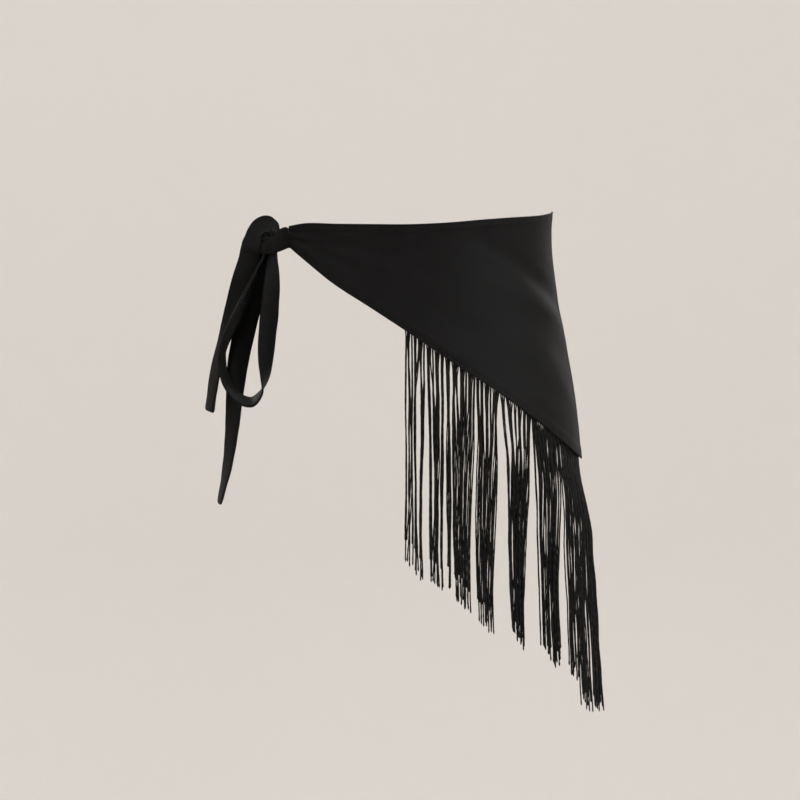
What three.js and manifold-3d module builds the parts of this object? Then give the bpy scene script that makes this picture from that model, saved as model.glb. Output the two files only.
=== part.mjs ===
// A fringe belt: a three-cornered cloth wrap worn slantwise round the hips. Its deep side hangs
// over the wearer's left hip, its two narrow ends are tied in a half bow at the right of the
// waist, and a long fringe hangs from the hem.
//
// Millimetres, +Z up. The wearer looks along -Y, and +X is the wearer's left. The origin is the
// middle of the waist, at the height of the top edge, where the waist carries the belt.
//
// A place on the worn cloth is given by its turn, its height and how far out it lies. The turn
// is 0 at the left side seam, 90 at the middle of the front and 180 at the wearer's right side.
// The back is worked out the same way, turned to the other side of the seam.

import * as THREE from 'three';
import { mergeVertices } from 'three/addons/utils/BufferGeometryUtils.js';
import Module from 'manifold-3d';

// Driving dimensions

const CLOTH = 1.6; // the wrap is cut double and turned, with a lining of its own cloth
const SEAM_GAP = 0.3; // between two pieces that are sewn together
const END_TURN = 147; // the turn at which the wrap narrows into its ties
const TIE_WIDTH = 20;
const TIE_THICKNESS = 2; // the tie is a flat tube of the same cloth

const HEADING_HEIGHT = 6; // the woven heading that holds the fringe, inside the hem
const HEADING_THICKNESS = 1.6;
const HEADING_ABOVE_HEM = 1;
const HEADING_GAP = 0.4; // between the heading and the wrap's inner face
const FRINGE_START = 91.5; // the fringe begins just past the middle of the front
const FRINGE_END = 0.6;
const ROOT_SPACING = 2.1;
const STRAND_RADIUS = 0.7;
const STRAND_SIDES = 3;
const LAYER_STEP = 1.9; // the strands hang three deep
const LAYERS = 3;
const UNEVEN_ENDS = 10; // how much the lengths of the strands differ
const FIRST_LAYER = 0.8;
const BACK_SPREAD = 1.05; // the back clumps hang a little further out than the front ones
const SIDE_TURN = 30; // nearer the side seam than this the clumps close up evenly

// How finely the shapes are stepped

const PANEL_COLUMNS = 38;
const PANEL_ROWS = 10;
const TIE_STEPS = 28;

// The clothed figure that fills the wrap: half its width and half its depth at each drop below
// the waist. The wrap's outer face follows it.
const FIGURE = [
  { drop: -10, halfWidth: 123.5, halfDepth: 93 },
  { drop: 0, halfWidth: 122.5, halfDepth: 92 },
  { drop: 20, halfWidth: 122, halfDepth: 91.5 },
  { drop: 40, halfWidth: 123.5, halfDepth: 92.5 },
  { drop: 60, halfWidth: 126, halfDepth: 94.5 },
  { drop: 80, halfWidth: 129, halfDepth: 97 },
  { drop: 110, halfWidth: 135, halfDepth: 101.5 },
  { drop: 140, halfWidth: 140.5, halfDepth: 106 },
  { drop: 170, halfWidth: 144.5, halfDepth: 110 },
  { drop: 205, halfWidth: 148, halfDepth: 113 },
  { drop: 240, halfWidth: 150.5, halfDepth: 115 },
  { drop: 300, halfWidth: 155, halfDepth: 119 },
  { drop: 360, halfWidth: 159.5, halfDepth: 122.5 },
  { drop: 430, halfWidth: 164, halfDepth: 126 },
];

// The cut of the wrap as it is worn: the heights of its top edge and its hem at each turn.
const EDGES = [
  { turn: 0, top: 4.4, hem: -207 },
  { turn: 10, top: 4, hem: -204 },
  { turn: 20, top: 2.6, hem: -197 },
  { turn: 30, top: 1.5, hem: -186.5 },
  { turn: 45, top: 0.2, hem: -166.5 },
  { turn: 60, top: -1.7, hem: -143.8 },
  { turn: 75, top: -4.2, hem: -121 },
  { turn: 90, top: -5.6, hem: -97 },
  { turn: 105, top: -5.5, hem: -75.5 },
  { turn: 120, top: -5.2, hem: -56.8 },
  { turn: 135, top: -4.6, hem: -37.6 },
  { turn: 147, top: -7, hem: -24.5 },
];

// The largest folds, each a soft trough, or a ridge where its height is positive, along a line
// between two places on the cloth.
const FRONT_FOLDS = [
  { fromTurn: 60, fromZ: -20, toTurn: 12, toZ: -72, reach: 11, height: -2.6 },
  { fromTurn: 46, fromZ: -58, toTurn: 8, toZ: -92, reach: 12, height: 2 },
  { fromTurn: 96, fromZ: -84, toTurn: 66, toZ: -122, reach: 9, height: 1 },
  { fromTurn: 130, fromZ: -18, toTurn: 100, toZ: -34, reach: 7, height: -0.9 },
];
const BACK_FOLDS = [
  { fromTurn: 54, fromZ: -24, toTurn: 14, toZ: -64, reach: 12, height: -2.2 },
  { fromTurn: 40, fromZ: -66, toTurn: 12, toZ: -104, reach: 13, height: 1.8 },
  { fromTurn: 104, fromZ: -20, toTurn: 72, toZ: -52, reach: 10, height: -1.4 },
  { fromTurn: 132, fromZ: -16, toTurn: 108, toZ: -30, reach: 7, height: -0.8 },
];

// Where the narrow ends are drawn into the knot the cloth ripples, and lies flat further on.
const GATHER = { waves: 3, height: 0.9, length: 20 };

// The fringe hangs in uneven clumps. From and to are the turns of a clump's roots on the hem,
// tip and spread are the turns that its ends fill, and drop is how far they hang.
const CLUMPS = [
  { from: 91.5, to: 88.6, tip: 90.1, spread: 2.6, drop: 190 },
  { from: 88.6, to: 84, tip: 87.2, spread: 2.4, drop: 197 },
  { from: 84, to: 77.5, tip: 81.8, spread: 4.6, drop: 196 },
  { from: 77.5, to: 75.5, tip: 77.8, spread: 1.4, drop: 190 },
  { from: 75.5, to: 66.5, tip: 73.8, spread: 5.2, drop: 196 },
  { from: 66.5, to: 57, tip: 66.4, spread: 5, drop: 200 },
  { from: 57, to: 44, tip: 55.6, spread: 4.2, drop: 195 },
  { from: 44, to: 29, tip: 42.6, spread: 7.4, drop: 193 },
  { from: 29, to: 20, tip: 31.6, spread: 4, drop: 194 },
  { from: 20, to: 0, tip: 17.4, spread: 22, drop: 215 },
];

// The free stretches of the ties. Each row is a place on the middle line of the flat tie, its
// width and thickness there as shares of the tie's own, and the line across it from its far
// edge to its near one: swing is that line's angle from straight ahead towards the wearer's
// left, rise its angle upwards. Cup is how far the middle stands proud of the two edges.
const SHORT_TAIL = [
  { x: -114.6, y: -37, z: -21, wide: 0.45, thick: 1.1, swing: -30, rise: 0, cup: 0 },
  { x: -114, y: -38, z: -14, wide: 0.58, thick: 1, swing: -30, rise: -24, cup: 0.6 },
  { x: -114.7, y: -38.4, z: -8, wide: 0.67, thick: 1, swing: -28, rise: -35, cup: 1.4 },
  { x: -118.2, y: -39, z: -6, wide: 0.84, thick: 1, swing: -15, rise: -52, cup: 2 },
  { x: -122.2, y: -39.5, z: -5.5, wide: 0.9, thick: 1, swing: -4, rise: -56, cup: 2.2 },
  { x: -126.9, y: -40.3, z: -7.3, wide: 0.88, thick: 1, swing: 15, rise: -53, cup: 2 },
  { x: -131.3, y: -42, z: -12.4, wide: 0.84, thick: 1, swing: 33, rise: -42, cup: 1.4 },
  { x: -133.5, y: -43.5, z: -18, wide: 0.85, thick: 1, swing: 48, rise: -33, cup: 0.6 },
  { x: -135.2, y: -44.8, z: -24.9, wide: 0.87, thick: 1, swing: 61, rise: -24, cup: 0 },
  { x: -136.2, y: -42.4, z: -33.6, wide: 0.86, thick: 1, swing: 86, rise: -13, cup: -0.6 },
  { x: -140.6, y: -42.8, z: -52, wide: 1, thick: 1, swing: 84, rise: 0, cup: -1.2 },
  { x: -149, y: -40.5, z: -79, wide: 1, thick: 1, swing: 58, rise: 0, cup: -1 },
  { x: -158.4, y: -36, z: -105, wide: 1, thick: 1, swing: 31, rise: 0, cup: -0.6 },
  { x: -165.4, y: -33, z: -132, wide: 1, thick: 1, swing: 26, rise: 0, cup: -0.6 },
  { x: -170.6, y: -31, z: -165, wide: 1, thick: 1, swing: 24, rise: 0, cup: -0.6 },
];
const LONG_TAIL = [
  { x: -119.4, y: -35.6, z: -22, wide: 0.4, thick: 1.2, swing: 88, rise: 0, cup: 0 },
  { x: -120.5, y: -36, z: -30, wide: 0.4, thick: 1.2, swing: 88, rise: 0, cup: 0 },
  { x: -123.3, y: -36, z: -36.4, wide: 0.64, thick: 1.1, swing: 87, rise: 0, cup: -0.3 },
  { x: -126.4, y: -36.2, z: -46, wide: 0.8, thick: 1, swing: 86, rise: 0, cup: -0.8 },
  { x: -130.6, y: -36.5, z: -60, wide: 0.93, thick: 1, swing: 84, rise: 0, cup: -1.2 },
  { x: -136.5, y: -37, z: -80, wide: 0.975, thick: 1, swing: 78, rise: 0, cup: -1.4 },
  { x: -142, y: -37.5, z: -103, wide: 1, thick: 1, swing: 70, rise: 0, cup: -1.2 },
  { x: -146.2, y: -38, z: -126, wide: 1, thick: 1, swing: 62, rise: 0, cup: -0.9 },
  { x: -149, y: -38, z: -152, wide: 1, thick: 1, swing: 47, rise: 0, cup: -0.6 },
  { x: -151, y: -38, z: -180, wide: 1, thick: 1, swing: 36, rise: 0, cup: -0.6 },
  { x: -154.6, y: -38, z: -208, wide: 1, thick: 1, swing: 26, rise: 0, cup: -0.4 },
  { x: -161.8, y: -38, z: -243.5, wide: 1, thick: 1, swing: 10, rise: 0, cup: -0.2 },
];
const LOOP = [
  { x: -115, y: -42, z: -21, wide: 0.35, thick: 1.1, swing: -50, rise: 0, cup: 0 },
  { x: -115.6, y: -43.4, z: -32, wide: 0.45, thick: 1.1, swing: -50, rise: 0, cup: 0 },
  { x: -116, y: -47.4, z: -44, wide: 0.7, thick: 1, swing: -49, rise: 0, cup: 0.6 },
  { x: -116.8, y: -50.4, z: -58, wide: 0.9, thick: 1, swing: -48, rise: 0, cup: 1.2 },
  { x: -118.4, y: -52, z: -78, wide: 1, thick: 1, swing: -47, rise: 0, cup: 1.4 },
  { x: -120.4, y: -53.5, z: -98, wide: 1, thick: 1, swing: -46, rise: 0, cup: 1.2 },
  { x: -121.8, y: -54, z: -120, wide: 1, thick: 1, swing: -36, rise: 0, cup: 0.8 },
  { x: -122.6, y: -54.5, z: -136, wide: 1, thick: 1, swing: -18, rise: 0, cup: 0.4 },
  { x: -125.8, y: -55, z: -148.5, wide: 1, thick: 1, swing: 6, rise: -10, cup: 0 },
  { x: -133.6, y: -55.5, z: -156, wide: 1, thick: 1, swing: 6, rise: -22, cup: 0 },
  { x: -143.4, y: -56.5, z: -153.6, wide: 1, thick: 1, swing: -6, rise: -20, cup: 0 },
  { x: -152, y: -58, z: -144.5, wide: 1, thick: 1, swing: -15, rise: -10, cup: 0 },
  { x: -157.6, y: -59.5, z: -130, wide: 1, thick: 1, swing: -17, rise: 0, cup: 0 },
  { x: -158, y: -60, z: -112, wide: 1, thick: 1, swing: -12, rise: 0, cup: 0 },
  { x: -153.6, y: -60, z: -94, wide: 1, thick: 1, swing: -4, rise: 0, cup: 0 },
  { x: -145.6, y: -59, z: -76, wide: 0.95, thick: 1, swing: 0, rise: 0, cup: 0 },
  { x: -136.6, y: -56, z: -58, wide: 0.85, thick: 1, swing: 0, rise: 0, cup: 0 },
  { x: -128.6, y: -51, z: -42, wide: 0.57, thick: 1, swing: 0, rise: 0, cup: 0 },
  { x: -123.6, y: -43.8, z: -33, wide: 0.34, thick: 1, swing: 0, rise: 0, cup: 0 },
  { x: -121.6, y: -42.8, z: -24, wide: 0.32, thick: 1.1, swing: 0, rise: 0, cup: 0 },
];

// The front tie leaves the narrow end of the wrap, passes in front of the knot and closes it
// from behind. Its width stands upright.
const FRONT_TIE = [
  { x: -103.7, y: -49.6, z: -17.9, wide: 0.85, thick: 0.9, swing: 0, rise: 90, cup: 0 },
  { x: -105.8, y: -49.8, z: -18.2, wide: 0.85, thick: 1, swing: 0, rise: 90, cup: 0.2 },
  { x: -109.4, y: -50.4, z: -20.6, wide: 0.77, thick: 1, swing: 0, rise: 90, cup: 0.6 },
  { x: -113.4, y: -51.4, z: -22.9, wide: 0.67, thick: 1, swing: 0, rise: 90, cup: 0.8 },
  { x: -118.5, y: -52.2, z: -24.8, wide: 0.6, thick: 1, swing: 0, rise: 90, cup: 1 },
  { x: -123.2, y: -50, z: -25.7, wide: 0.53, thick: 1, swing: 0, rise: 90, cup: 0.6 },
  { x: -126.6, y: -44.4, z: -25.8, wide: 0.49, thick: 1, swing: 0, rise: 90, cup: 0.2 },
  { x: -126.8, y: -37.6, z: -25.4, wide: 0.47, thick: 1, swing: 0, rise: 90, cup: 0 },
  { x: -123.8, y: -31.4, z: -24, wide: 0.46, thick: 1, swing: 0, rise: 90, cup: 0 },
  { x: -117.6, y: -28.4, z: -22.4, wide: 0.46, thick: 1, swing: 0, rise: 90, cup: 0 },
];

// The back tie lies flat round the wearer's right side, from the narrow end of the back to the
// knot. Turn counts on past 180, round to the front.
const BACK_TIE_ON_WAIST = [
  { turn: 147.4, z: -18.3, wide: 0.8 },
  { turn: 154, z: -18, wide: 0.86 },
  { turn: 162, z: -17.4, wide: 0.9 },
  { turn: 171, z: -16.6, wide: 0.9 },
  { turn: 180, z: -15.6, wide: 0.86 },
  { turn: 188, z: -14.6, wide: 0.74 },
];
const BACK_TIE_END = [
  { x: -121, y: -22, z: -13, wide: 0.55, thick: 1.1, swing: 0, rise: 90, cup: 0 },
  { x: -120, y: -28, z: -12.6, wide: 0.45, thick: 1.2, swing: 0, rise: 90, cup: 0 },
  { x: -118.6, y: -35, z: -13.6, wide: 0.4, thick: 1.2, swing: 0, rise: 90, cup: 0 },
];

// The crossed ties inside the knot make one lump.
const KNOT = { x: -119, y: -38, z: -18.8, halfX: 11.4, halfY: 10, halfZ: 7.8 };
const KNOT_RIBS = { count: 3, height: 0.06, twist: 2.4 };
const KNOT_SIDES = 14;
const KNOT_STEPS = 8;

// Reading the tables

// A column's value between two rows of a table, on a smooth curve through the rows.
function read(table, key, column, at) {
  const last = table.length - 1;
  let row = 0;
  while (row < last - 1 && at > table[row + 1][key]) {
    row += 1;
  }
  const slopeAt = (index) => {
    const before = table[Math.max(index - 1, 0)];
    const after = table[Math.min(index + 1, last)];
    return (after[column] - before[column]) / (after[key] - before[key]);
  };
  const start = table[row];
  const end = table[row + 1];
  const span = end[key] - start[key];
  const t = THREE.MathUtils.clamp((at - start[key]) / span, 0, 1);
  const startShare = (1 + 2 * t) * (1 - t) * (1 - t);
  const endShare = t * t * (3 - 2 * t);
  const startPull = t * (1 - t) * (1 - t) * span;
  const endPull = t * t * (t - 1) * span;
  return startShare * start[column] + endShare * end[column]
    + startPull * slopeAt(row) + endPull * slopeAt(row + 1);
}

// A place on the clothed figure, moved outwards. Side is 1 on the front and -1 on the back.
function onFigure(side, turn, z, out) {
  const angle = THREE.MathUtils.degToRad(turn);
  const halfWidth = read(FIGURE, 'drop', 'halfWidth', -z);
  const halfDepth = read(FIGURE, 'drop', 'halfDepth', -z);
  const point = new THREE.Vector3(
    halfWidth * Math.cos(angle),
    -side * halfDepth * Math.sin(angle),
    z,
  );
  const away = new THREE.Vector3(
    Math.cos(angle) / halfWidth,
    (-side * Math.sin(angle)) / halfDepth,
    0,
  );
  return point.addScaledVector(away.normalize(), out);
}

// Closed solids

// A closed solid through a row of rings with the same number of points each. The two ends are
// closed by a ladder of faces between the ring's first half and its second half.
function skin(rings) {
  const count = rings[0].length;
  const positions = rings.flat().flatMap((point) => [point.x, point.y, point.z]);
  const faces = [];
  const end = (rings.length - 1) * count;
  for (let here = 0; here < end; here += count) {
    const next = here + count;
    for (let i = 0; i < count; i += 1) {
      const j = (i + 1) % count;
      faces.push(here + i, here + j, next + j);
      faces.push(here + i, next + j, next + i);
    }
  }
  for (let i = 0; i < count - 2 - i; i += 1) {
    const across = count - 1 - i;
    faces.push(i, across, i + 1);
    faces.push(end + i, end + i + 1, end + across);
    if (i + 1 < across - 1) {
      faces.push(i + 1, across, across - 1);
      faces.push(end + i + 1, end + across - 1, end + across);
    }
  }
  const geometry = new THREE.BufferGeometry();
  geometry.setAttribute('position', new THREE.Float32BufferAttribute(positions, 3));
  geometry.setIndex(volumeOf(positions, faces) < 0 ? faces.reverse() : faces);
  return geometry;
}

function volumeOf(positions, faces) {
  const corners = [new THREE.Vector3(), new THREE.Vector3(), new THREE.Vector3()];
  let volume = 0;
  for (let face = 0; face < faces.length; face += 3) {
    corners.forEach((corner, i) => corner.fromArray(positions, faces[face + i] * 3));
    volume += corners[0].dot(corners[1].clone().cross(corners[2])) / 6;
  }
  return volume;
}

const wasm = await Module();
wasm.setup();

function toManifold(geometry) {
  const merged = mergeVertices(geometry);
  return new wasm.Manifold(new wasm.Mesh({
    numProp: 3,
    vertProperties: merged.attributes.position.array,
    triVerts: new Uint32Array(merged.index.array),
  }));
}

function toGeometry(solid) {
  const mesh = solid.getMesh();
  const geometry = new THREE.BufferGeometry();
  geometry.setAttribute('position', new THREE.Float32BufferAttribute(mesh.vertProperties, 3));
  geometry.setIndex([...mesh.triVerts]);
  return geometry;
}

// The wrap

function heightOfFold(fold, turn, z) {
  const mmPerTurn = 2;
  const endShare = 0.06; // the two ends of a fold keep this share of its fade
  const from = new THREE.Vector2(fold.fromTurn * mmPerTurn, fold.fromZ);
  const to = new THREE.Vector2(fold.toTurn * mmPerTurn, fold.toZ);
  const line = to.clone().sub(from);
  const place = new THREE.Vector2(turn * mmPerTurn, z).sub(from);
  const along = THREE.MathUtils.clamp(place.dot(line) / line.lengthSq(), 0, 1);
  const away = place.sub(line.clone().multiplyScalar(along)).length();
  const fade = Math.sqrt(Math.sin(Math.PI * THREE.MathUtils.clamp(along, endShare, 1 - endShare)));
  return fold.height * fade * Math.exp(-((away / fold.reach) ** 2));
}

function relief(folds, turn, z, share) {
  const total = folds.reduce((sum, fold) => sum + heightOfFold(fold, turn, z), 0);
  const drawn = Math.exp(-(END_TURN - turn) / GATHER.length);
  const ripple = Math.sin(2 * Math.PI * GATHER.waves * share) * GATHER.height;
  return total + ripple * drawn * Math.sin(Math.PI * share);
}

// The turns of the panel's columns, from the side seam to the narrow end.
function panelTurns() {
  const seam = THREE.MathUtils.radToDeg(SEAM_GAP / 2 / FIGURE[1].halfDepth);
  const turns = [];
  for (let column = 0; column <= PANEL_COLUMNS; column += 1) {
    turns.push(seam + (END_TURN - seam) * (column / PANEL_COLUMNS));
  }
  return turns;
}

function wrapPanel(side, folds) {
  const rings = panelTurns().map((turn) => {
    const top = read(EDGES, 'turn', 'top', turn);
    const hem = read(EDGES, 'turn', 'hem', turn);
    const outer = [];
    const inner = [];
    for (let row = 0; row <= PANEL_ROWS; row += 1) {
      const down = row / PANEL_ROWS;
      const z = top + (hem - top) * down;
      const raised = relief(folds, turn, z, down);
      outer.push(onFigure(side, turn, z, raised));
      inner.unshift(onFigure(side, turn, z, raised - CLOTH));
    }
    return [...outer, ...inner];
  });
  return skin(rings);
}

// The fringe

// The heading is a narrow woven strip, a little inside the wrap's inner face along its hem.
function heading(side, folds) {
  const outerFace = -CLOTH - HEADING_GAP;
  const margin = 0.5;
  const start = FRINGE_START + margin;
  const between = panelTurns().filter((turn) => turn > FRINGE_END && turn < start);
  const rings = [FRINGE_END - margin / 2, ...between, start].map((turn) => {
    const bottom = read(EDGES, 'turn', 'hem', turn) + HEADING_ABOVE_HEM;
    const top = bottom + HEADING_HEIGHT;
    const raised = relief(folds, turn, bottom, 1);
    return [
      onFigure(side, turn, top, raised + outerFace),
      onFigure(side, turn, bottom, raised + outerFace),
      onFigure(side, turn, bottom, raised + outerFace - HEADING_THICKNESS),
      onFigure(side, turn, top, raised + outerFace - HEADING_THICKNESS),
    ];
  });
  return skin(rings);
}

// The turns of the strands' roots, evenly spaced along the slanting hem.
function rootTurns(side) {
  const turns = [FRINGE_START];
  const step = 0.05;
  let last = onFigure(side, FRINGE_START, read(EDGES, 'turn', 'hem', FRINGE_START), 0);
  for (let turn = FRINGE_START; turn > FRINGE_END; turn -= step) {
    const place = onFigure(side, turn, read(EDGES, 'turn', 'hem', turn), 0);
    if (place.distanceTo(last) >= ROOT_SPACING) {
      turns.push(turn);
      last = place;
    }
  }
  return turns;
}

// A strand's stations: how far down it each lies, how much of the way to the clump it has gone
// sideways, and how much of the way to its layer it has come forward.
const STRAND_STATIONS = [
  { along: 0, gathered: 0, forward: 0 },
  { along: 0.028, gathered: 0, forward: 0 },
  { along: 0.34, gathered: 0.75, forward: 1 },
  { along: 1, gathered: 1, forward: 1 },
];

// A number from 0 to 1 that is the same each time for the same index.
function scatter(index) {
  const value = Math.sin(index * 12.9898) * 43758.5453;
  return value - Math.floor(value);
}

// The turn at which a strand ends. The back's strands end a little further from the middle.
function spreadTurn(side, turn) {
  const outwards = (angle) => {
    const sideways = Math.cos(THREE.MathUtils.degToRad(angle)) * BACK_SPREAD;
    return THREE.MathUtils.radToDeg(Math.acos(sideways));
  };
  if (side === 1) {
    return turn;
  }
  return turn < SIDE_TURN ? (turn * outwards(SIDE_TURN)) / SIDE_TURN : outwards(turn);
}

function strand(side, root, clump, share, index) {
  const tip = clump.tip + clump.spread * (0.5 - share);
  const layer = FIRST_LAYER + LAYER_STEP * (index % LAYERS);
  const rootOut = -CLOTH - HEADING_GAP - HEADING_THICKNESS / 2;
  const rootZ = read(EDGES, 'turn', 'hem', root) + HEADING_ABOVE_HEM + HEADING_HEIGHT / 3;
  const drop = clump.drop + UNEVEN_ENDS * (scatter(index) - 0.5) + HEADING_HEIGHT / 3;
  const rings = STRAND_STATIONS.map(({ along, gathered, forward }) => {
    const turn = root + (spreadTurn(side, tip) - root) * gathered;
    const out = rootOut + (layer - rootOut) * forward;
    const centre = onFigure(side, turn, rootZ - drop * along, out);
    const corners = [];
    for (let corner = 0; corner < STRAND_SIDES; corner += 1) {
      const angle = (2 * Math.PI * corner) / STRAND_SIDES + index;
      corners.push(new THREE.Vector3(
        centre.x + STRAND_RADIUS * Math.cos(angle),
        centre.y + STRAND_RADIUS * Math.sin(angle),
        centre.z,
      ));
    }
    return corners;
  });
  return skin(rings);
}

function fringe(side, folds) {
  const roots = rootTurns(side);
  const solids = [toManifold(heading(side, folds))];
  CLUMPS.forEach((clump) => {
    const held = roots.filter((turn) => turn <= clump.from && turn > clump.to);
    held.forEach((turn, i) => {
      const index = roots.indexOf(turn);
      solids.push(toManifold(strand(side, turn, clump, (i + 0.5) / held.length, index)));
    });
  });
  return toGeometry(wasm.Manifold.union(solids));
}

// The ties and the knot

// Points round a flat tie's section, as shares of its width and of its thickness.
const TIE_SECTION = [
  { across: 0.5, up: 0.3 },
  { across: 0.22, up: 0.5 },
  { across: -0.22, up: 0.5 },
  { across: -0.5, up: 0.3 },
  { across: -0.5, up: -0.3 },
  { across: -0.22, up: -0.5 },
  { across: 0.22, up: -0.5 },
  { across: 0.5, up: -0.3 },
];

// A flat tie along the rows of its table. Grow makes it larger all round, and longer at both
// ends, for cutting its bed.
function tie(rows, grow = 0) {
  const curve = new THREE.CatmullRomCurve3(
    rows.map((row) => new THREE.Vector3(row.x, row.y, row.z)),
    false,
    'centripetal',
  );
  const marks = rows.map((row, place) => ({ ...row, place }));
  const rings = [];
  for (let step = 0; step <= TIE_STEPS; step += 1) {
    const place = (step / TIE_STEPS) * (rows.length - 1);
    const valueOf = (column) => read(marks, 'place', column, place);
    const centre = curve.getPoint(place / (rows.length - 1));
    const forward = curve.getTangent(place / (rows.length - 1));
    const swing = THREE.MathUtils.degToRad(valueOf('swing'));
    const rise = THREE.MathUtils.degToRad(valueOf('rise'));
    const across = new THREE.Vector3(
      Math.sin(swing) * Math.cos(rise),
      -Math.cos(swing) * Math.cos(rise),
      Math.sin(rise),
    );
    across.addScaledVector(forward, -across.dot(forward)).normalize();
    const up = across.clone().cross(forward);
    if (step === 0 || step === TIE_STEPS) {
      centre.addScaledVector(forward, step === 0 ? -grow : grow);
    }
    const wide = valueOf('wide') * TIE_WIDTH + 2 * grow;
    const thick = valueOf('thick') * TIE_THICKNESS + 2 * grow;
    rings.push(TIE_SECTION.map((corner) => {
      const lift = valueOf('cup') * (1 - (2 * corner.across) ** 2);
      return centre.clone()
        .addScaledVector(across, corner.across * wide)
        .addScaledVector(up, corner.up * thick + lift);
    }));
  }
  return skin(rings);
}

function backTieRows() {
  const onWaist = BACK_TIE_ON_WAIST.map(({ turn, z, wide }) => {
    const { x, y } = onFigure(-1, turn, z, -TIE_THICKNESS / 2);
    return { x, y, z, wide, thick: 1, swing: 0, rise: 90, cup: 0 };
  });
  return [...onWaist, ...BACK_TIE_END];
}

// The lump of crossed ties, with a bed cut in it for each tie that runs through.
function knot(ties) {
  const rings = [];
  for (let step = 1; step < KNOT_STEPS; step += 1) {
    const polar = (Math.PI * step) / KNOT_STEPS;
    const ring = [];
    for (let i = 0; i < KNOT_SIDES; i += 1) {
      const round = (2 * Math.PI * i) / KNOT_SIDES;
      const angle = KNOT_RIBS.count * round + KNOT_RIBS.twist * polar;
      const fold = 1 + KNOT_RIBS.height * Math.sin(angle);
      ring.push(new THREE.Vector3(
        KNOT.x + KNOT.halfX * fold * Math.cos(polar),
        KNOT.y + KNOT.halfY * fold * Math.sin(polar) * Math.cos(round),
        KNOT.z + KNOT.halfZ * fold * Math.sin(polar) * Math.sin(round),
      ));
    }
    rings.push(ring);
  }
  let lump = toManifold(skin(rings));
  ties.forEach((rows) => {
    lump = lump.subtract(toManifold(tie(rows, SEAM_GAP)));
  });
  const largestFirst = (a, b) => b.volume() - a.volume();
  return toGeometry(lump.decompose().sort(largestFirst)[0]);
}

// The finished belt

const CLOTH_COLOUR = 0x1b191a;
const FRINGE_COLOUR = 0x111011;

function piece(name, geometry, color, roughness) {
  const material = new THREE.MeshStandardMaterial({ color, roughness, metalness: 0 });
  const mesh = new THREE.Mesh(geometry, material);
  mesh.name = name;
  return mesh;
}

const belt = new THREE.Group();
const ties = [SHORT_TAIL, LONG_TAIL, LOOP, FRONT_TIE, backTieRows()];
const clothRoughness = 0.72;
const fringeRoughness = 0.5;
belt.add(piece('front_panel', wrapPanel(1, FRONT_FOLDS), CLOTH_COLOUR, clothRoughness));
belt.add(piece('back_panel', wrapPanel(-1, BACK_FOLDS), CLOTH_COLOUR, clothRoughness));
belt.add(piece('short_tail', tie(SHORT_TAIL), CLOTH_COLOUR, clothRoughness));
belt.add(piece('long_tail', tie(LONG_TAIL), CLOTH_COLOUR, clothRoughness));
belt.add(piece('bow_loop', tie(LOOP), CLOTH_COLOUR, clothRoughness));
belt.add(piece('front_tie', tie(FRONT_TIE), CLOTH_COLOUR, clothRoughness));
belt.add(piece('back_tie', tie(backTieRows()), CLOTH_COLOUR, clothRoughness));
belt.add(piece('knot', knot(ties), CLOTH_COLOUR, clothRoughness));
belt.add(piece('front_fringe', fringe(1, FRONT_FOLDS), FRINGE_COLOUR, fringeRoughness));
belt.add(piece('back_fringe', fringe(-1, BACK_FOLDS), FRINGE_COLOUR, fringeRoughness));

export default belt;
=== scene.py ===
"""A fringe belt, worn slantwise and tied in a half bow, modelled round its packed frame."""

import math
import random

import bmesh
import bpy
from bpy.props import FloatProperty, FloatVectorProperty, IntProperty, PointerProperty
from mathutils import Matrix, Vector, noise
from mathutils.bvhtree import BVHTree


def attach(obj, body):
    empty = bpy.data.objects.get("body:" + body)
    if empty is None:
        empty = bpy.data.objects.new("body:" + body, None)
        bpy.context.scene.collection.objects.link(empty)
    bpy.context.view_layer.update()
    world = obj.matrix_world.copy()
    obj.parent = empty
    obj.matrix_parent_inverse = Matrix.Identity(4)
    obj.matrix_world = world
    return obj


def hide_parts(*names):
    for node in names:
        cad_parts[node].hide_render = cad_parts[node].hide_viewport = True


bl_info = {
    "name": "Fringe belt",
    "version": (1, 0, 0),
    "blender": (4, 5, 0),
    "location": "3D Viewport > Sidebar > Belt",
    "description": "Models the cloth, the ties and the fringe of a belt round its frame",
    "category": "Add Mesh",
}

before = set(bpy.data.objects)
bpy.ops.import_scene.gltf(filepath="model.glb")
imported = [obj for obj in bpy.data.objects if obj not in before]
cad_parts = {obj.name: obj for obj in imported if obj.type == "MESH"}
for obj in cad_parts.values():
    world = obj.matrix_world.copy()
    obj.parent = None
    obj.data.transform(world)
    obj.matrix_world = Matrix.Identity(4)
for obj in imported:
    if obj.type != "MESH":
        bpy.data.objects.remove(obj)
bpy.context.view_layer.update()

# Metres, +Z up. The wearer looks along -Y, and +X is the wearer's left. A place on the worn
# cloth is given by its turn, its height and how far out it lies. The turn is 0 at the left side
# seam, 90 at the middle of the front or of the back, and 180 at the wearer's right side.

SEAM_GAP = 0.00002  # between the two panels at the side seam
END_TURN = 147  # where the panels end and the ties begin
FRONT, BACK = 1, -1

# Metres for one degree of turn: on the whole wrap, near its side seam, and on the slanting hem
PER_TURN = 0.002
PER_TURN_AT_SEAM = 0.0018
PER_TURN_ON_HEM = 0.0024


def rows(columns, *values):
    """A table with named columns."""
    names = columns.split()
    return [dict(zip(names, row)) for row in values]


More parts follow.
